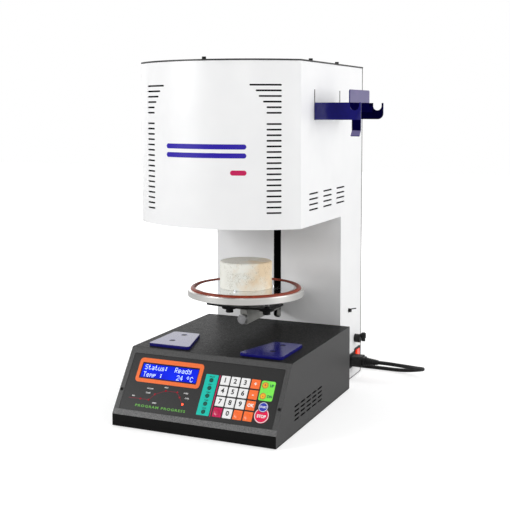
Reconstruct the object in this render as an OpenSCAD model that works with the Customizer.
// Bench-top vacuum furnace for firing dental porcelain, in millimetres.
// The origin is on the bench, straight below the middle of the firing platform.
// +X is to the right of the person at the keypad, +Y goes to the back, +Z is up.

/* [Console] */
// Width of the console
base_w = 280; // [276:1:310]
// Depth of the console
base_d = 345; // [335:1:380]
// Height of the console's flat top above the bench
base_top = 113.5; // [108:0.5:116]
// How far the console's front edge lies before the platform's middle
axis_to_front = 205; // [200:1:225]
// Height of the upright front edge above the bench
lip_top = 21; // [18:0.5:26]
// Run from the upright front edge back to the top of the sloping panel
panel_run = 65; // [62:0.5:70]
// Thickness of the console's sheet steel
sheet = 1.5; // [1.2:0.1:2]
// Thickness of the sloping panel
panel_t = 4; // [3.6:0.1:5]
// Thickness of the plate under the whole machine
floor_t = 1.5; // [1.2:0.1:3]
// Height of the rubber strips that it stands on
foot_h = 1.5; // [1:0.5:4]
// Width of a rubber strip
foot_w = 12; // [8:1:20]

/* [Control panel] */
// Console left free on each side of the keypad foil
foil_border = 8.5; // [7:0.5:10]
// Height of the keypad foil, up the slope
foil_h = 93.5; // [92:0.5:96]
// Distance of the foil's lower edge from the fold at the front
foil_v = 9; // [8:0.5:11]
// Thickness of the foil and its backing
foil_t = 1.9; // [1.7:0.1:2.2]
// How far the foil lies below the panel's face
foil_drop = 0.3; // [0.2:0.1:0.6]
// Distance between key middles
key_pitch = 17; // [16.8:0.1:17.4]
// Width of a square key
key_w = 14.8; // [13.5:0.1:15.4]
// Thickness of a key
key_t = 1.6; // [1.4:0.1:1.8]
// How far a key travels when it is pressed
key_travel = 0.5; // [0.3:0.1:0.5]
// Gap between a key and the foil around it
key_gap = 0.3; // [0.2:0.05:0.4]
// Radius of the small round function keys
fn_key_r = 3.2; // [2.6:0.1:3.6]
// Radius of the two lift keys
lift_key_r = 4.8; // [4:0.1:5.4]
// Radius of the start key
start_r = 7.6; // [7:0.1:8]
// Radius of the stop key
stop_r = 11.8; // [11:0.1:12]
// Width of the display window
lcd_w = 100; // [96:1:102]
// Height of the display window
lcd_h = 23; // [20:0.5:25]

/* [Cooling plates] */
// Console left free outside each plate
cool_border = 22; // [18:1:28]
// Distance of its inner front corner from the middle
cool_in_front = 45; // [40:1:52]
// Distance of its inner rear corner from the middle
cool_in_rear = 68; // [60:1:76]
// Depth of a plate
cool_d = 90; // [80:1:94]
// Distance of its front edge before the platform's middle
cool_front = 127; // [122:1:132]
// Thickness of a plate
cool_t = 5; // [3:0.5:8]

/* [Column and head] */
// Width of the column
col_w = 244; // [230:1:256]
// Depth of the column, from its front face to the machine's back
col_d = 123; // [118:1:140]
// Thickness of the white sheet steel
skin = 1.5; // [1:0.1:2]
// Width of the head
head_w = 289; // [285:1:300]
// Height of the head's underside above the bench
head_z = 310; // [306:1:330]
// Height of the top of the lid above the bench
head_top = 579; // [570:1:600]
// Radius of the head's curved front
front_r = 200; // [190:1:230]
// How far the middle of the curved front lies before the platform's middle
front_reach = 120.5; // [118:0.5:130]
// Thickness of the lid and of the back panel
lid_t = 2.5; // [2:0.5:4]
// thickness of the back panel, with its folded rim
rear_t = 4; // [2:0.5:6]
// Width of the slot that the lift arm runs in
slot_w = 14; // [13:0.5:18]
// Height of the slot's lower end above the bench
slot_z = 118.5; // [116:0.5:122]

/* [Vents] */
// Distance between the rows of vent slots
vent_pitch = 8.76; // [8.4:0.02:9]
// Height of one vent slot
vent_h = 2.8; // [2:0.1:4]
// Height of the top row in the curved front above the bench
vent_top = 538.2; // [530:0.2:545]
// Angle of a slot's outer end from the middle of the curved front
vent_out = 37; // [34:0.5:40]
// Angle of its inner end
vent_in = 30; // [28:0.5:32]
// Length of a slot in the right side of the head
side_vent_l = 43.5; // [30:0.5:44]
// Distance between the columns of side slots
side_vent_pitch = 68; // [60:0.5:72]
// Length of a slot in the side of the console
base_vent_l = 20; // [12:1:24]

/* [Firing platform] */
// Radius of the platform disc
disc_r = 99; // [97:0.5:104]
// Thickness of the platform disc
disc_t = 11; // [10:0.5:14]
// Height of the disc's top above the bench, at the bottom of its travel
disc_top = 197; // [193:0.5:202]
// Middle radius of the seal
seal_r = 90; // [88:0.5:91]
// Radius of the seal's round section
seal_cord = 4; // [3:0.1:5]
// Radius of the polished plate
mirror_r = 83; // [76:0.5:84]
// Thickness of the polished plate
mirror_t = 1.5; // [1:0.1:3]
// Radius of the firing table
table_r = 44.25; // [38:0.25:46]
// Height of the firing table
table_h = 45; // [35:1:55]

/* [Firing chamber] */
// Inner radius of the firing chamber
chamber_r = 51; // [49:0.5:56]
// Height of the heated chamber
chamber_h = 88; // [86:1:110]
// Thickness of the heated quartz wall
quartz_t = 4; // [3:0.5:6]
// Outer radius of the insulation's steel casing
casing_r = 100; // [97:1:103]
// Thickness of the steel ring that the seal closes on
ring_t = 4; // [3:0.5:6]

/* [Lift] */
// Width of the lift arm
arm_w = 12; // [10:0.5:12]
// Height of the lift arm
arm_h = 25; // [18:1:26]
// Height of the arm's underside above the bench
arm_z = 136; // [132:1:138]
// How far the arm's front end reaches before the platform's middle
arm_front = 10; // [9:0.5:20]
// Radius of the clamp knob on the arm's end
knob_r = 8.5; // [5:0.1:9]
// Length of the clamp knob
knob_l = 8; // [6:0.5:14]
// Thickness of the black support plate
support_t = 3; // [2:0.5:5]
// Radius of the circle that the three levelling screws stand on
level_r = 38.5; // [34:0.5:42]
// Distance of that circle's middle behind the platform's middle
level_y = 23; // [20:1:26]
// Radius of a levelling screw
stud_r = 3; // [2.5:0.1:4]
// Radius of a lead screw
screw_r = 6; // [5:0.5:8]
// Radius of a guide rod
rod_r = 6; // [5:0.5:8]
// Distance of a guide rod from the lead screw
rod_dx = 38; // [34:1:44]

/* [Tong holder] */
// How far the holder's arms stand out from the side of the head
holder_out = 79; // [70:1:95]
// Height of an arm of the holder
holder_h = 28; // [24:1:34]
// Height of the arms' underside above the bench
holder_z = 483; // [478:1:490]
// Distance of the front arm behind the platform's middle
holder_y = 2; // [0:0.5:12]
// Distance between the two arms
holder_span = 127.5; // [120:0.5:130]
// Thickness of the holder's sheet
holder_t = 2; // [1.5:0.5:3]
// gap on each side of the holder's arms in their slots
holder_gap = 1; // [0.3:0.1:1.5]
// Radius of the notch that a tong handle rests in
notch_r = 7.7; // [6:0.1:9]
// How far the holder lifts before it unhooks
unhook = 20; // [16:1:22]

/* [Mains and vacuum] */
// Height of the mains inlet's middle above the bench
inlet_z = 36; // [34:1:38]
// Distance of the inlet's middle behind the platform's middle
inlet_y = 205; // [203:1:208]
// Height of the mains switch's middle above the bench
rocker_z = 40.5; // [38:0.5:48]
// Distance of the switch's middle behind the platform's middle
rocker_y = 238; // [237:0.5:239]
// How far the switch tips from side to side
rocker_tilt = 14; // [10:1:16]
// Height of the vacuum fitting's middle above the bench
vac_z = 73; // [72:1:90]
// Distance of the vacuum fitting behind the platform's middle
vac_y = 226; // [222:1:244]
// Radius of the nipple that the vacuum hose is pushed on
nipple_r = 3.5; // [3:0.1:4]
// Length of that nipple
nipple_l = 6; // [5:1:12]
// Diameter of the mains lead
lead_d = 7; // [6.5:0.1:7.2]

/* [Hidden] */
$fn = 48;
// clearances
seam = 0.5; // between console and column
run_gap = 0.06; // a shaft in its bore
free_gap = 0.3; // parts that pass each other
slip = 0.5; // a screw in its hole

// places worked out from the sizes above
floor_z = foot_h + floor_t;
front_y = -axis_to_front;
base_rear = front_y + base_d;
panel_rise = base_top - lip_top;
panel_a = atan2(panel_rise, panel_run);
panel_l = sqrt(panel_rise * panel_rise + panel_run * panel_run);
pocket_h = foil_t + foil_drop;
foil_w = base_w - 2 * foil_border;
cool_out = base_w / 2 - cool_border;
cool_screw_in = 28;
key_top = 0.2;
col_front = base_rear + seam;
rear_y = col_front + col_d;
skin_rear = rear_y - rear_t;
col_x = col_w / 2;
head_right = col_x;
head_left = col_x - head_w;
head_mid = (head_left + head_right) / 2;
arc_y = front_r - front_reach;
crease_y = arc_y - sqrt(front_r * front_r - head_w * head_w / 4);
lid_z = head_top - lid_t;
flange_w = 10;

// the key grid, measured along the slope from the front fold
foil_right = foil_w / 2;
key_u0 = foil_right - 93.8;
key_v0 = foil_v + 14.6;
fn_u = foil_right - 117.2;
fn_v0 = foil_v + 12.7;
fn_pitch = 12.65;
lift_u = foil_right - 26.6;
start_uv = [foil_right - 21.8, foil_v + 31.7];
stop_uv = [foil_right - 21.5, foil_v + 18.7];
// the display stands midway between the foil's left edge and the teal keys
lcd_uv = [(fn_u - foil_right) / 2 - 2.4, foil_v + 66.5];
lcd_rim = 4;
display_depth = 8;

// platform and lift, at the bottom of the travel
disc_z = disc_top - disc_t;
groove_d = seal_cord + 0.5;
mirror_z = disc_top + mirror_t;
seal_top = disc_top + seal_cord - 0.5;
floor_hole_r = seal_r + seal_cord + 3;
ring_z = head_z + skin;
travel = ring_z - seal_top - free_gap;
arm_top = arm_z + arm_h;
support_z = arm_top + 0.8;
clamp_z = arm_z + 9.5;
support_top = support_z + support_t;
screw_y = 205;
rod_len_z0 = 62;
frame_top = 345;
frame_t = 8;
carriage_h = 40;
carriage_z = arm_z - 8;
shutter_top = head_z + 21;

// chamber
muffle_z = ring_z + ring_t;
insulation_r = casing_r - 1;
muffle_top = muffle_z + chamber_h + 40;

// fittings on the right side
connector_l = 28;
relief_l = 22;
inlet_flange = 2.5;
inlet_l = 22;
nose_w = 22;
nose_h = 15;
nose_l = 14;
knob_y = 188;
knob_z = 132.3;
cord_r = lead_d / 2;
cord_start = head_right + inlet_flange + connector_l + relief_l;

// The mains lead's route where it is not coiled, chosen by hand: beside the machine, then behind it
function beside(dx, dy, z) = [cord_start + dx, inlet_y + dy, z];
function behind(x, dy, z) = [x, rear_y + dy, z];
CORD_ROUTE = [
    beside(-0.5, 0, inlet_z), beside(13.5, 0, inlet_z), beside(27.5, 0, inlet_z - 0.5),
    beside(41.5, 1, inlet_z - 1.5), beside(55.5, 5.5, 32.5), beside(66.5, 14, 29.5),
    beside(72.5, 26, 26), beside(73, 40, 22), beside(67.5, 53, 17.5), beside(57.5, 64, 13),
    beside(44.5, 72, 9), beside(29.5, 77, 6), beside(13.5, 80, 4.4), behind(170, 23.5, 4),
    behind(145, 24.5, 4), behind(115, 24.5, 4), behind(85, 24.5, 4), behind(66, 24.5, 4)
];
coil_r = 42;
coil_layers = 3;
coil_mid = [40, rear_y + 24.5 + coil_r + cord_r];
plug_x = 8;
plug_y = coil_mid[1] - coil_r - cord_r;
plug_z = 18.6;
// its short end from the top of the coil to the plug
TAIL_ROUTE = [
    [coil_mid[0] - 26, plug_y, plug_z], [coil_mid[0] - 29, plug_y, plug_z], [plug_x, plug_y, plug_z]
];

// two in front and one behind, beside the arm
LEVEL_XY = [for (a = [216, 336, 125]) [level_r * cos(a), level_y + level_r * sin(a)]];
PIN_ANGLES = [30, 150, 270];

// name, kind, place across the panel, place up the slope, colour
function grid_key(name, col, row, colour) =
    [name, "square", key_u0 + col * key_pitch, key_v0 + row * key_pitch, colour];
KEYS = concat(
    [for (n = [1:9]) grid_key(str("key_", n), (n - 1) % 3, 3 - floor((n - 1) / 3), "white")],
    [grid_key("key_0", 1, 0, "white")],
    [grid_key("key_clear", 0, 0, "crimson")],
    [for (n = [1:3]) grid_key(str("key_menu_", n), 3, 4 - n, "coral")],
    [for (n = [1:2]) grid_key(str("key_step_", n), 1 + n, 0, "tomato")],
    [for (n = [1:5]) [str("key_mode_", n), "mode", fn_u, fn_v0 + (5 - n) * fn_pitch, "teal"]],
    [["key_up", "lift", lift_u, key_v0 + 3 * key_pitch, "orange"]],
    [["key_down", "lift", lift_u, key_v0 + 2 * key_pitch, "orange"]],
    [["key_start", "start", start_uv[0], start_uv[1], "mediumblue"]],
    [["key_stop", "stop", stop_uv[0], stop_uv[1], "red"]]
);

// Shapes that repeat

// Rectangle with round corners, about its middle
module round_rect(w, h, r) {
    square([w - 2 * r, h], center = true);
    square([w, h - 2 * r], center = true);
    for (x = [-1, 1], y = [-1, 1])
        translate([x * (w / 2 - r), y * (h / 2 - r)]) circle(r);
}

// Slot with round ends, from x = a to x = b
module slot_2d(a, b, h) {
    translate([a + h / 2, -h / 2]) square([b - a - h, h]);
    for (x = [a + h / 2, b - h / 2])
        translate([x, 0]) circle(h / 2, $fn = 24);
}

// Box between two corners
module box(a, b) {
    translate(a) cube(b - a);
}

// Puts a shape on the sloping panel: u across, v up the slope, z out of the panel
module on_panel(u = 0, v = 0, h = 0) {
    translate([0, front_y, lip_top]) rotate([panel_a, 0, 0]) translate([u, v, h]) children();
}

// The head seen from above, drawn in by a distance; open draws it on past the back
module head_outline(inset, open = 0) {
    w = head_w - 2 * inset;
    intersection() {
        translate([head_mid, arc_y]) circle(front_r - inset, $fn = 240);
        translate([head_mid - w / 2, -front_reach - 5]) square([w, front_reach + 10]);
    }
    translate([head_mid - w / 2, 0]) square([w, skin_rear + open]);
}

// Console

module base_plate() {
    color("#3a3a3c") difference() {
        translate([0, 0, foot_h]) linear_extrude(floor_t) {
            translate([-base_w / 2, front_y]) square([base_w, base_d]);
            translate([-col_x, base_rear - 1]) square([col_w, col_d + seam + 1]);
        }
        // holes that let cool air in under the lift motor
        for (x = [-60:30:60])
            translate([x, screw_y, 0]) cylinder(r = 4, h = floor_z + 1);
    }
}

module foot_strips() {
    strip_l = min(base_w, col_w) - 24;
    strip_y = [front_y + 14, 0, base_rear - 14, rear_y - 18];
    color("#161616") for (y = strip_y)
        translate([0, y, 0]) linear_extrude(foot_h) round_rect(strip_l, foot_w, foot_w / 2 - 1);
}

// Side view of the console, in Y and Z
module console_profile() {
    polygon([
        [front_y, floor_z], [front_y, lip_top], [front_y + panel_run, base_top],
        [base_rear, base_top], [base_rear, floor_z]
    ]);
}

module console_hollow() {
    s0 = (sheet - panel_t * sin(panel_a)) / cos(panel_a);
    s1 = (panel_rise - sheet + panel_t * cos(panel_a)) / sin(panel_a);
    polygon([
        [front_y + sheet, floor_z - 1],
        [front_y + sheet, lip_top + s0 * sin(panel_a) - panel_t * cos(panel_a)],
        [front_y + s1 * cos(panel_a) + panel_t * sin(panel_a), base_top - sheet],
        [base_rear - sheet, base_top - sheet], [base_rear - sheet, floor_z - 1]
    ]);
}

module across(w) {
    rotate([90, 0, 90]) translate([0, 0, -w / 2]) linear_extrude(w) children();
}

module console_housing() {
    vent_cols = 5;
    vent_step = base_vent_l + 6;
    vent_rear = -6;
    vent_z0 = lip_top + 1.5;
    color("#2b2b2d") difference() {
        across(base_w) console_profile();
        across(base_w - 2 * sheet) console_hollow();
        on_panel(0, foil_v + foil_h / 2, -pocket_h)
            linear_extrude(pocket_h + 1) round_rect(foil_w + 2 * free_gap, foil_h + 2 * free_gap, 1.5);
        on_panel(lcd_uv[0], lcd_uv[1], -panel_t - 1)
            linear_extrude(panel_t + 2)
                square([lcd_w + 2 * lcd_rim + slip, lcd_h + 2 * lcd_rim + slip], center = true);
        // vent slots in both sides
        for (side = [0, 1]) mirror([side, 0, 0])
            translate([base_w / 2 - 2 * sheet, 0, 0]) rotate([90, 0, 90]) linear_extrude(3 * sheet)
                for (c = [0:vent_cols - 1], r = [0:3])
                    translate([vent_rear - c * vent_step, vent_z0 + r * 7])
                        slot_2d(-base_vent_l, 0, vent_h);
        // holes for the cooling plates' and the panel's screws
        for (p = cool_screws())
            translate([p[0], p[1], base_top - 2 * sheet]) cylinder(r = 2.2, h = 3 * sheet);
        for (x = [-1, 1])
            on_panel(x * panel_screw_u(), panel_screw_v(), -panel_t - 1) cylinder(r = 1.6, h = panel_t + 2);
    }
}

function panel_screw_u() = (base_w + foil_w) / 4 + free_gap;
function panel_screw_v() = foil_v + foil_h / 3;

module key_outline(kind, grow = 0) {
    if (kind == "square") round_rect(key_w + 2 * grow, key_w + 2 * grow, 1 + grow);
    if (kind == "mode") circle(fn_key_r + grow);
    if (kind == "lift") circle(lift_key_r + grow);
    if (kind == "start") circle(start_r + grow);
    if (kind == "stop") circle(stop_r + grow);
}

module control_overlay() {
    color("#3c3c40") on_panel(0, 0, -pocket_h) difference() {
        translate([0, foil_v + foil_h / 2, 0]) linear_extrude(foil_t) round_rect(foil_w, foil_h, 1.2);
        for (k = KEYS)
            translate([k[2], k[3], -1]) linear_extrude(foil_t + 2) key_outline(k[1], key_gap);
        translate([lcd_uv[0], lcd_uv[1], -1]) linear_extrude(foil_t + 2)
            square([lcd_w, lcd_h], center = true);
    }
}

// One key, lying in its window of the foil
module touch_key(k) {
    color(k[4]) on_panel(k[2], k[3], key_top - key_t) difference() {
        linear_extrude(key_t) key_outline(k[1]);
        // the stop key is cut away round the start key, which overlaps it in plan
        if (k[1] == "stop")
            translate([start_uv[0] - stop_uv[0], start_uv[1] - stop_uv[1], -1])
                cylinder(r = start_r + 2 * key_gap, h = key_t + 2);
    }
}

module display_module() {
    glass_t = foil_t - 0.6;
    board_u = 0.3;
    color("#2244cc") on_panel(lcd_uv[0], lcd_uv[1], -pocket_h - display_depth) {
        linear_extrude(display_depth)
            square([lcd_w + 2 * lcd_rim, lcd_h + 2 * lcd_rim], center = true);
        linear_extrude(display_depth + glass_t)
            square([lcd_w - 2 * board_u, lcd_h - 2 * board_u], center = true);
    }
}

// Cooling plates

function cool_screws() = [
    for (x = [-1, 1], y = [cool_d / 3, 0.8 * cool_d]) [x * (cool_out - cool_screw_in), y - cool_front]
];

// Four corners of one plate, in plan
module cool_outline() {
    r = 5;
    y0 = -cool_front;
    y1 = y0 + cool_d;
    hull() {
        translate([cool_out - r, y0 + r]) circle(r, $fn = 32);
        translate([cool_out - r, y1 - r]) circle(r, $fn = 32);
        translate([cool_in_rear + r, y1 - r]) circle(r, $fn = 32);
        translate([cool_in_front + r, y0 + r]) circle(r, $fn = 32);
    }
}

module cooling_plates() {
    head_r = 5;
    color("#1a1a80") difference() {
        for (side = [0, 1]) mirror([side, 0, 0])
            translate([0, 0, base_top]) linear_extrude(cool_t) cool_outline();
        for (p = cool_screws()) translate([p[0], p[1], base_top]) {
            cylinder(r = 2.2, h = cool_t + 1);
            translate([0, 0, cool_t - 2.5]) cylinder(r = head_r, h = 4);
        }
    }
}

// Column and head

// Vent slots of one side of the curved front, cut straight back from the slots' middle
module front_vents(side) {
    mid = (vent_in + vent_out) / 2;
    outer = front_r * sin(vent_out - mid);
    inner_steps = [7.7, 4.9, 3.5, 1.6];
    last = floor((vent_top - head_z - 20) / vent_pitch);
    translate([head_mid, arc_y, vent_top]) rotate([0, 0, side * mid])
        translate([0, -front_r + 30, 0]) rotate([90, 0, 0]) linear_extrude(45)
            for (n = [0:last]) if (n != 6) {
                inner_a = vent_in - (n < 4 ? inner_steps[n] : 0);
                inner = front_r * sin(mid - inner_a);
                translate([0, -n * vent_pitch])
                    slot_2d(side > 0 ? -inner : -outer, side > 0 ? outer : inner, vent_h);
            }
}

module side_vents() {
    rows = 4;
    z0 = head_z + 26;
    y0 = -20.5;
    translate([head_right - 2 * skin, 0, 0]) rotate([90, 0, 90]) linear_extrude(3 * skin)
        for (c = [0:2], r = [0:rows - 1])
            translate([y0 + c * side_vent_pitch, z0 + r * vent_pitch]) slot_2d(0, side_vent_l, vent_h);
}

function holder_slots() = [for (n = [0, 1]) holder_y + holder_t / 2 + n * holder_span];

module head_housing() {
    slot_bottom = holder_z - free_gap;
    slot_top = holder_z + holder_h + unhook + 1.5;
    color("#eeeeee") difference() {
        union() {
            // curved front and both sides
            translate([0, 0, head_z]) linear_extrude(lid_z - head_z) difference() {
                head_outline(0);
                head_outline(skin, 10);
            }
            // floor round the column and the chamber's mouth
            translate([0, 0, head_z]) linear_extrude(skin) difference() {
                head_outline(0);
                translate([-col_x + skin, col_front + skin]) square([col_w - 2 * skin, col_d]);
            }
            // turned-in edge that the lid is screwed to
            translate([0, 0, lid_z - skin]) linear_extrude(skin) difference() {
                head_outline(0);
                head_outline(skin + flange_w, 20);
            }
            // the right side runs on down as the side of the column
            box([head_right - skin, col_front, floor_z], [head_right, skin_rear, head_z + skin]);
        }
        translate([0, 0, head_z - 1]) cylinder(r = floor_hole_r, h = skin + 2, $fn = 120);
        for (side = [-1, 1]) front_vents(side);
        side_vents();
        for (y = holder_slots())
            box([head_right - 3, y - holder_t / 2 - holder_gap, slot_bottom],
                [head_right + 1, y + holder_t / 2 + holder_gap, slot_top]);
        for (p = lid_screws()) translate([p[0], p[1], lid_z - 5]) cylinder(r = 1.5, h = 10);
        // openings for the switch, the inlet and the vacuum fitting
        box([head_right - 3, rocker_y - 13, rocker_z - 10.5], [head_right + 1, rocker_y + 13, rocker_z + 10.5]);
        box([head_right - 3, inlet_y - 13.5, inlet_z - 10], [head_right + 1, inlet_y + 13.5, inlet_z + 10]);
        translate([head_right - 3, vac_y, vac_z]) rotate([0, 90, 0]) cylinder(r = 5, h = 4);
    }
}

module column_housing() {
    slot_top = head_z - 3;
    color("#e6e6e6") difference() {
        union() {
            box([-col_x, col_front, floor_z], [col_x - skin, col_front + skin, head_z]);
            box([-col_x, col_front, floor_z], [-col_x + skin, skin_rear, head_z]);
        }
        translate([0, col_front - 1, 0]) rotate([-90, 0, 0]) mirror([0, 1, 0])
            linear_extrude(skin + 2) translate([0, (slot_z + slot_top) / 2])
                round_rect(slot_w, slot_top - slot_z, slot_w / 2 - 2);
    }
}

function lid_screws() = [
    [head_mid, -front_reach + 9],
    [head_right - 9, 0.03 * rear_y], [head_right - 9, 0.53 * rear_y],
    [head_left + 9, 0.03 * rear_y], [head_left + 9, 0.53 * rear_y]
];

module top_cover() {
    over = 0.6;
    color("#4a4a4c") difference() {
        translate([0, 0, lid_z]) linear_extrude(lid_t) union() {
            head_outline(-over);
            translate([head_left - over, skin_rear - 1]) square([head_w + 2 * over, rear_t + 1]);
        }
        for (p = lid_screws()) translate([p[0], p[1], lid_z - 1]) cylinder(r = 2, h = lid_t + 2);
    }
}

function rear_screws() = concat(
    [for (x = [head_left + 12, head_mid, head_right - 12], z = [head_z + 14, (head_z + lid_z) / 2, lid_z - 10])
        if (!(x == head_mid && z < lid_z - 20)) [x, z]],
    [for (x = [-1, 1], n = [0:2]) [x * (col_x - 12), 20 + n * (head_z - 110) / 2]]
);

module rear_panel() {
    rows = 9;
    color("#4a4a4c") difference() {
        translate([0, rear_y, 0]) rotate([90, 0, 0]) linear_extrude(rear_t) {
            translate([head_left, head_z]) square([head_w, lid_z - head_z]);
            translate([-col_x, floor_z]) square([col_w, head_z - floor_z + 1]);
        }
        // vent slots high up, where the head's warm air leaves
        translate([head_mid, rear_y + 1, lid_z - 40]) rotate([90, 0, 0]) linear_extrude(rear_t + 2)
            for (r = [0:rows - 1], x = [-1, 1])
                translate([x * 45, -r * vent_pitch]) slot_2d(-30, 30, vent_h);
        for (p = rear_screws())
            translate([p[0], rear_y + 1, p[1]]) rotate([90, 0, 0]) cylinder(r = 2, h = rear_t + 2);
    }
}

// Pan-head screw standing on z = 0, its shank below
module pan_screw(head_r, head_h, shank_r, shank_l) {
    difference() {
        union() {
            cylinder(r = head_r, h = head_h);
            translate([0, 0, -shank_l]) cylinder(r = shank_r, h = shank_l);
        }
        translate([0, 0, head_h - 1.2]) cylinder(r = head_r * 0.45, h = 2);
    }
}

module machine_screws() {
    color("#1c1c1e") {
        for (p = lid_screws()) translate([p[0], p[1], head_top]) pan_screw(3.4, 4.2, 1.5, lid_t + skin);
        for (p = rear_screws())
            translate([p[0], rear_y, p[1]]) rotate([-90, 0, 0]) pan_screw(3.6, 2.2, 1.5, rear_t);
        for (p = cool_screws()) translate([p[0], p[1], base_top + cool_t - 2.5]) {
            cylinder(r = 4.6, h = 2.2);
            translate([0, 0, -cool_t]) cylinder(r = 1.9, h = cool_t);
        }
        for (x = [-1, 1]) on_panel(x * panel_screw_u(), panel_screw_v(), 0) pan_screw(2.4, 1.4, 1.3, panel_t);
    }
}

// Firing chamber

module chamber_ring() {
    color("#b8b8b8") translate([0, 0, ring_z]) difference() {
        cylinder(r = casing_r + 2, h = ring_t, $fn = 120);
        translate([0, 0, -1]) cylinder(r = chamber_r + quartz_t + 2, h = ring_t + 2, $fn = 96);
    }
}

module muffle_block() {
    hollow_r = chamber_r + quartz_t + 0.5;
    color("#d8d2c4") difference() {
        translate([0, 0, muffle_z]) cylinder(r = casing_r, h = muffle_top - muffle_z, $fn = 96);
        translate([0, 0, muffle_z - 1]) cylinder(r = hollow_r, h = chamber_h + 1, $fn = 96);
        translate([0, 0, muffle_z + chamber_h - 1]) cylinder(r = 3, h = 60);
    }
}

module heating_muffle() {
    turns = 7;
    coil_wire = 1.2;
    probe_r = 2;
    wall_r = chamber_r + quartz_t;
    color("#c86a32") {
        difference() {
            translate([0, 0, muffle_z]) cylinder(r = wall_r, h = chamber_h - 3, $fn = 96);
            translate([0, 0, muffle_z - 1]) cylinder(r = chamber_r, h = chamber_h, $fn = 96);
            // grooves that the heating wire lies in
            for (n = [0:turns - 1]) translate([0, 0, muffle_z + 10 + n * (chamber_h - 24) / (turns - 1)])
                rotate_extrude($fn = 96) translate([chamber_r, 0]) circle(coil_wire, $fn = 16);
        }
        // heat sensor down through the middle of the roof
        translate([0, 0, muffle_z + chamber_h - 4]) cylinder(r = probe_r, h = 46);
    }
}

// Lift

module lift_frame() {
    half = rod_dx + 18;
    color("#9a9a9e") {
        difference() {
            union() {
                box([-half, screw_y - 25, rod_len_z0], [half, skin_rear, rod_len_z0 + frame_t]);
                box([-half, screw_y - 25, frame_top], [half, skin_rear, frame_top + frame_t]);
                box([-half, skin_rear - 4, rod_len_z0], [half, skin_rear, frame_top + frame_t]);
            }
            translate([0, screw_y, rod_len_z0 - 1]) cylinder(r = screw_r + run_gap, h = frame_top);
        }
        for (x = [-1, 1]) translate([x * rod_dx, screw_y, rod_len_z0])
            cylinder(r = rod_r, h = frame_top - rod_len_z0 + frame_t / 2);
    }
}

module lift_motor() {
    half = 28.5;
    body_h = 50;
    color("#303034") translate([0, screw_y, rod_len_z0 - body_h]) difference() {
        union() {
            linear_extrude(body_h) round_rect(2 * half, 2 * half, 4);
            translate([0, 0, -4]) cylinder(r = 19, h = 4);
        }
        translate([0, 0, body_h - 3]) cylinder(r = screw_r + 3, h = 4);
    }
}

module lead_screw() {
    z0 = rod_len_z0 - 2.5;
    color("#c0c0c4") difference() {
        translate([0, screw_y, z0]) cylinder(r = screw_r, h = frame_top + frame_t - 1 - z0);
        translate([-1, screw_y - screw_r - 1, frame_top + frame_t - 3]) cube([2, 2 * screw_r + 2, 4]);
    }
}

module lift_arm() {
    half = rod_dx + 14;
    boss_r = 13;
    carriage_front = screw_y - 17;
    color("#8c8c88") difference() {
        union() {
            box([-arm_w / 2, -arm_front, arm_z], [arm_w / 2, carriage_front + 1, arm_top]);
            box([-half, carriage_front, carriage_z], [half, screw_y + 17, carriage_z + carriage_h]);
            translate([0, level_y, arm_top - 1]) cylinder(r = boss_r, h = support_z - arm_top + 1);
            // foot behind the slot, under the arm
            box([-arm_w / 4, col_front + skin + 4, slot_z + 1.5], [arm_w / 2, col_front + skin + 16, arm_z + 1]);
        }
        for (x = [-1, 1]) translate([x * rod_dx, screw_y, carriage_z - 1])
            cylinder(r = rod_r + run_gap, h = carriage_h + 2);
        translate([0, screw_y, carriage_z - 1]) cylinder(r = screw_r + run_gap, h = carriage_h + 2);
        translate([0, -arm_front - 1, clamp_z]) rotate([-90, 0, 0]) cylinder(r = 2.5 + run_gap, h = 20);
    }
}

module arm_knob() {
    shaft_l = 16;
    grips = 20;
    color("#c8c8cc") translate([0, -arm_front - free_gap, clamp_z]) rotate([90, 0, 0])
        difference() {
            union() {
                cylinder(r = knob_r, h = knob_l - 1.5);
                cylinder(r = knob_r - 1, h = knob_l);
                translate([0, 0, -shaft_l]) cylinder(r = 2.5, h = shaft_l);
            }
            for (n = [0:grips - 1]) rotate([0, 0, n * 360 / grips])
                translate([knob_r, 0, 1.5]) cylinder(r = 0.5, h = knob_l, $fn = 16);
        }
}

module slot_shutter() {
    half = slot_w / 2 + 3;
    y0 = col_front + skin + free_gap;
    color("#0c0c0c") {
        box([-half, y0, arm_top], [half, y0 + 1, shutter_top]);
        box([-arm_w / 2, y0, arm_top], [arm_w / 2, y0 + 14, arm_top + 1]);
    }
}

module support_plate() {
    tip_x = level_r + 31;
    tip_r = 6;
    edge_r = 9;
    color("#141416") difference() {
        translate([0, 0, support_z]) linear_extrude(support_t) hull() {
            translate([-tip_x, level_y - 20]) circle(tip_r, $fn = 32);
            translate([-4, level_y - 28]) circle(edge_r, $fn = 32);
            translate([level_r + 1, level_y - 18]) circle(edge_r, $fn = 32);
            translate([level_r + 4, level_y + 18]) circle(edge_r, $fn = 32);
            translate([LEVEL_XY[2][0], LEVEL_XY[2][1] + 3]) circle(edge_r, $fn = 32);
        }
        for (p = LEVEL_XY) translate([p[0], p[1], support_z - 1]) cylinder(r = stud_r + slip, h = support_t + 2);
    }
}

module levelling_screws() {
    washer_r = 13;
    washer_t = 2.5;
    nut_r = 6.5;
    nut_h = 7;
    end_l = 0.8;
    color("#101012") for (p = LEVEL_XY) translate([p[0], p[1], 0]) {
        z1 = support_z - free_gap;
        translate([0, 0, z1 - washer_t]) cylinder(r = washer_r, h = washer_t);
        translate([0, 0, z1 - washer_t - nut_h]) cylinder(r = nut_r, h = nut_h);
        translate([0, 0, z1 - washer_t - nut_h - end_l])
            cylinder(r = stud_r, h = disc_z - z1 + washer_t + nut_h + end_l);
    }
}

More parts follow.
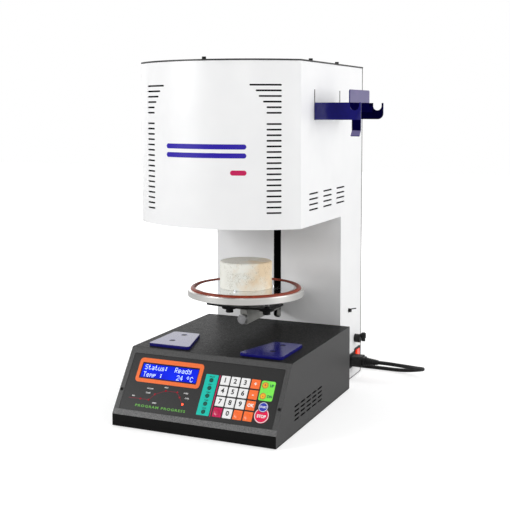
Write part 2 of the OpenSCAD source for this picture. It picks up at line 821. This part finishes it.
module levelling_springs() {
    color("#a8a8ac") for (p = LEVEL_XY) translate([p[0], p[1], support_top]) difference() {
        cylinder(r = stud_r + 2.4, h = disc_z - support_top);
        translate([0, 0, -1]) cylinder(r = stud_r + 1, h = disc_z - support_top + 2);
    }
}

// Platform

module platform_disc() {
    color("#c9cacc") difference() {
        translate([0, 0, disc_z]) union() {
            cylinder(r = disc_r, h = disc_t - 0.8, $fn = 180);
            cylinder(r = disc_r - 0.8, h = disc_t, $fn = 180);
        }
        translate([0, 0, disc_top - groove_d]) difference() {
            cylinder(r = seal_r + seal_cord, h = groove_d + 1, $fn = 180);
            translate([0, 0, -1]) cylinder(r = seal_r - seal_cord, h = groove_d + 3, $fn = 180);
        }
    }
}

module seal_ring() {
    color("#9c3d20") translate([0, 0, disc_top - 0.5]) rotate_extrude($fn = 180)
        translate([seal_r, 0]) circle(seal_cord, $fn = 32);
}

module mirror_plate() {
    pin_r = 1.5;
    color("#dfe3e6") {
        translate([0, 0, disc_top]) cylinder(r = mirror_r, h = mirror_t, $fn = 180);
        for (a = PIN_ANGLES) rotate([0, 0, a])
            translate([table_r + pin_r + slip, 0, mirror_z - 0.5]) cylinder(r = pin_r, h = 3, $fn = 24);
    }
}

module firing_table() {
    color("#ece6d2") translate([0, 0, mirror_z]) union() {
        cylinder(r = table_r, h = table_h - 1.2, $fn = 120);
        cylinder(r = table_r - 1.2, h = table_h, $fn = 120);
    }
}

// Tong holder on the right side

// One arm seen from the front: X across, Z up, with its hook inside the head
function tab_w() = 2 * notch_r - 0.4;
function tab_z() = holder_z - 0.6 * holder_h;

// The front arm has a tab in place of its round corner
module holder_arm(tab) {
    x0 = head_right - skin - free_gap;
    x1 = head_right + holder_out;
    notch_x = x1 - 3 - notch_r;
    end_r = 10;
    top = holder_z + holder_h;
    rotate([90, 0, 0]) linear_extrude(holder_t) difference() {
        union() {
            translate([x0 - 12, holder_z]) square([x1 - x0 + 12 - end_r, holder_h]);
            translate([x1 - 2 * end_r, holder_z + end_r]) square([2 * end_r, holder_h - end_r]);
            if (tab) translate([x1 - tab_w(), tab_z()]) square([tab_w(), holder_z + end_r + 1 - tab_z()]);
            else translate([x1 - end_r, holder_z + end_r]) circle(end_r);
            // hook behind the sheet
            translate([x0 - 12, holder_z - 8]) square([12, 9]);
        }
        translate([notch_x, top - 5]) circle(notch_r);
        translate([notch_x - notch_r, top - 5]) square([2 * notch_r, 10]);
    }
}

module tong_holder() {
    arm_end = head_right + holder_out;
    web_x = arm_end - 3 - 2 * notch_r - holder_t;
    web_z0 = holder_z + 3 * holder_h / 7;
    web_z1 = holder_z + 1.75 * holder_h;
    flange_l = 0.83 * holder_span;
    lip_y = 7;
    lip_drop = 8.4;
    color("#15157a") {
        for (n = [0, 1]) translate([0, holder_y + holder_t + n * holder_span, 0]) holder_arm(n == 0);
        // cross plate between the arms, higher at its front
        translate([web_x, 0, 0]) rotate([90, 0, 90]) linear_extrude(holder_t) {
            translate([holder_y + 1, web_z0]) square([holder_span, holder_z + holder_h - 6 - web_z0]);
            translate([holder_y + 1, web_z0]) square([flange_l, web_z1 - web_z0 - 3]);
            translate([holder_y + 4, web_z0]) square([flange_l - 6, web_z1 - web_z0]);
            for (y = [holder_y + 4, holder_y + flange_l - 2])
                translate([y, web_z1 - 3]) circle(3);
        }
        // lip turned forward at the foot of the tab
        translate([arm_end - tab_w() + 0.2, holder_y, tab_z()]) rotate([90, 0, 90])
            linear_extrude(tab_w() - 0.4)
                polygon([[0.3, 0], [-lip_y, -lip_drop], [-lip_y + 0.76 * holder_t, -lip_drop - 0.64 * holder_t],
                    [holder_t - 0.3, -0.1], [holder_t - 0.3, 1], [0.3, 1]]);
    }
}

// Fittings on the right side of the column

module vacuum_elbow() {
    x0 = head_right + free_gap;
    body_l = 11;
    neck_up = 6;
    block_x = head_right + 17;
    block_r = 4.6;
    block_h = 9;
    color("#0e0e10") translate([0, vac_y, vac_z]) {
        translate([x0, 0, 0]) rotate([0, 90, 0]) cylinder(r = 7.8, h = body_l);
        translate([head_right - 6, 0, 0]) rotate([0, 90, 0]) cylinder(r = 4.5, h = 8);
        translate([x0 + body_l - 1, 0, neck_up]) rotate([0, 90, 0])
            cylinder(r = 3.2, h = block_x - x0 - body_l + 1);
        // upright block with the nipple for the vacuum hose under it
        translate([block_x, 0, neck_up]) {
            translate([0, 0, -block_h / 2]) cylinder(r = block_r, h = block_h);
            translate([0, 0, block_h / 2 - 0.01]) cylinder(r = block_r - 1.4, h = 1);
            translate([0, 0, -block_h / 2 - nipple_l]) cylinder(r = nipple_r, h = nipple_l + 1);
        }
    }
}

module power_rocker() {
    // half a width and half a height of the cap that tips
    w = 11.9;
    h = 8.8;
    depth = 7;
    color("#d01010") translate([head_right + 2, rocker_y, rocker_z]) rotate([0, 0, rocker_tilt / 2])
        linear_extrude(2 * h, center = true)
            polygon([[-depth, -w + 2.5], [2.2, -w], [0.6, 0], [2.2, w], [-depth, w - 2.5]]);
}

// Switch frame, mains inlet and the small knob with its rod
module side_fittings() {
    frame_w = 31;
    frame_h = 26;
    cavity_w = 26;
    cavity_h = 20;
    wall = 1.4;
    inlet_w = 27;
    inlet_h = 19.6;
    color("#18181a") {
        // switch frame, open in the middle for the cap that tips
        translate([head_right - 12, rocker_y, rocker_z]) rotate([90, 0, 90]) difference() {
            union() {
                linear_extrude(12) square([cavity_w - 0.4, cavity_h - 0.4], center = true);
                translate([0, 0, 12]) linear_extrude(2) round_rect(frame_w, frame_h, 2);
            }
            translate([0, 0, wall]) linear_extrude(20)
                square([cavity_w - 0.4 - wall / 2, cavity_h - 0.4 - wall / 2], center = true);
        }
        // inlet with its flange and the mouth that the connector goes into
        translate([head_right - inlet_l, inlet_y, inlet_z]) rotate([90, 0, 90]) difference() {
            union() {
                linear_extrude(inlet_l) square([inlet_w - 0.4, inlet_h - 0.4], center = true);
                translate([0, 0, inlet_l]) linear_extrude(inlet_flange) round_rect(32, 26, 2);
            }
            translate([0, 0, inlet_l + inlet_flange - nose_l - 1])
                linear_extrude(inlet_l) square([nose_w + 0.6, nose_h + 0.6], center = true);
        }
        translate([head_right, knob_y, knob_z]) rotate([0, 90, 0]) {
            cylinder(r = 3.2, h = 5);
            cylinder(r = 4, h = 1);
        }
        translate([head_right + 3, knob_y, knob_z + 2.6]) rotate([0, 0, -36]) rotate([-90, 0, 0])
            cylinder(r = 1, h = 13, $fn = 24);
    }
}

module mains_connector() {
    x0 = head_right + inlet_flange;
    ribs = 5;
    color("#141416") translate([x0, inlet_y, inlet_z]) rotate([0, 90, 0]) {
        translate([0, 0, -nose_l]) linear_extrude(nose_l + 1) square([nose_h, nose_w], center = true);
        linear_extrude(connector_l - 8) round_rect(19, 26, 3);
        translate([0, 0, connector_l - 8]) linear_extrude(5) round_rect(16, 21, 5);
        translate([0, 0, connector_l - 3]) cylinder(r = 7.5, h = 3);
        // strain relief, tapered, with ribs
        translate([0, 0, connector_l]) cylinder(r1 = 6.6, r2 = cord_r + 0.8, h = relief_l - 0.5);
        for (n = [0:ribs - 1]) translate([0, 0, connector_l + 1.5 + n * 4])
            cylinder(r = 6.9 - n * 0.5, h = 2.2);
    }
}

// Mains lead

// Smooth curve through the route's points, and the way it runs there
function curve(p, i, t) =
    let (a = p[max(i - 1, 0)], b = p[i], c = p[i + 1], d = p[min(i + 2, len(p) - 1)])
    0.5 * (2 * b + (c - a) * t + (2 * a - 5 * b + 4 * c - d) * t * t + (3 * b - a - 3 * c + d) * t * t * t);
function unit(v) = v / norm(v);

module swept_tube(route, r, sides, steps) {
    pts = concat(
        [for (i = [0:len(route) - 2], s = [0:steps - 1]) curve(route, i, s / steps)],
        [route[len(route) - 1]]
    );
    n = len(pts);
    way = [for (i = [0:n - 1]) unit(pts[min(i + 1, n - 1)] - pts[max(i - 1, 0)])];
    rings = [for (i = [0:n - 1])
        let (side = unit(cross([0, 0, 1], way[i])), up = cross(way[i], side))
        for (k = [0:sides - 1]) pts[i] + r * (cos(k * 360 / sides) * side + sin(k * 360 / sides) * up)];
    walls = [for (i = [0:n - 2], k = [0:sides - 1])
        let (a = i * sides + k, b = i * sides + (k + 1) % sides)
        [a, a + sides, b + sides, b]];
    ends = [[for (k = [0:sides - 1]) k], [for (k = [0:sides - 1]) n * sides - 1 - k]];
    polyhedron(rings, concat(walls, ends), convexity = 8);
}

module mains_cord() {
    color("#1a1a1c") {
        swept_tube(CORD_ROUTE, cord_r, 10, 2);
        swept_tube(TAIL_ROUTE, cord_r, 10, 1);
    }
}

module cord_coil() {
    h = coil_layers * lead_d;
    color("#1a1a1c") translate([coil_mid[0], coil_mid[1], 0.4]) rotate_extrude($fn = 96)
        translate([coil_r, h / 2]) round_rect(2 * lead_d, h, cord_r - 0.5);
}

module mains_plug() {
    relief = 25;
    body = 38;
    pin_l = 19;
    color("#141416") translate([plug_x, plug_y, plug_z]) rotate([0, -90, 0]) {
        cylinder(r1 = cord_r + 0.8, r2 = 7, h = relief);
        translate([0, 0, relief - 1]) cylinder(r1 = 8, r2 = 13, h = 10);
        translate([0, 0, relief + 8]) cylinder(r1 = 16, r2 = 18.3, h = body - 8);
        for (y = [-9.5, 9.5]) translate([0, y, relief + body - 1]) cylinder(r = 2.4, h = pin_l + 1, $fn = 24);
    }
}

base_plate();
foot_strips();
console_housing();
control_overlay();
display_module();
cooling_plates();
head_housing();
column_housing();
top_cover();
rear_panel();
machine_screws();
chamber_ring();
muffle_block();
heating_muffle();
lift_frame();
lift_motor();
lead_screw();
lift_arm();
arm_knob();
slot_shutter();
support_plate();
levelling_screws();
levelling_springs();
platform_disc();
seal_ring();
mirror_plate();
firing_table();
tong_holder();
vacuum_elbow();
power_rocker();
side_fittings();
mains_connector();
mains_cord();
cord_coil();
mains_plug();
for (k = KEYS)
    touch_key(k);
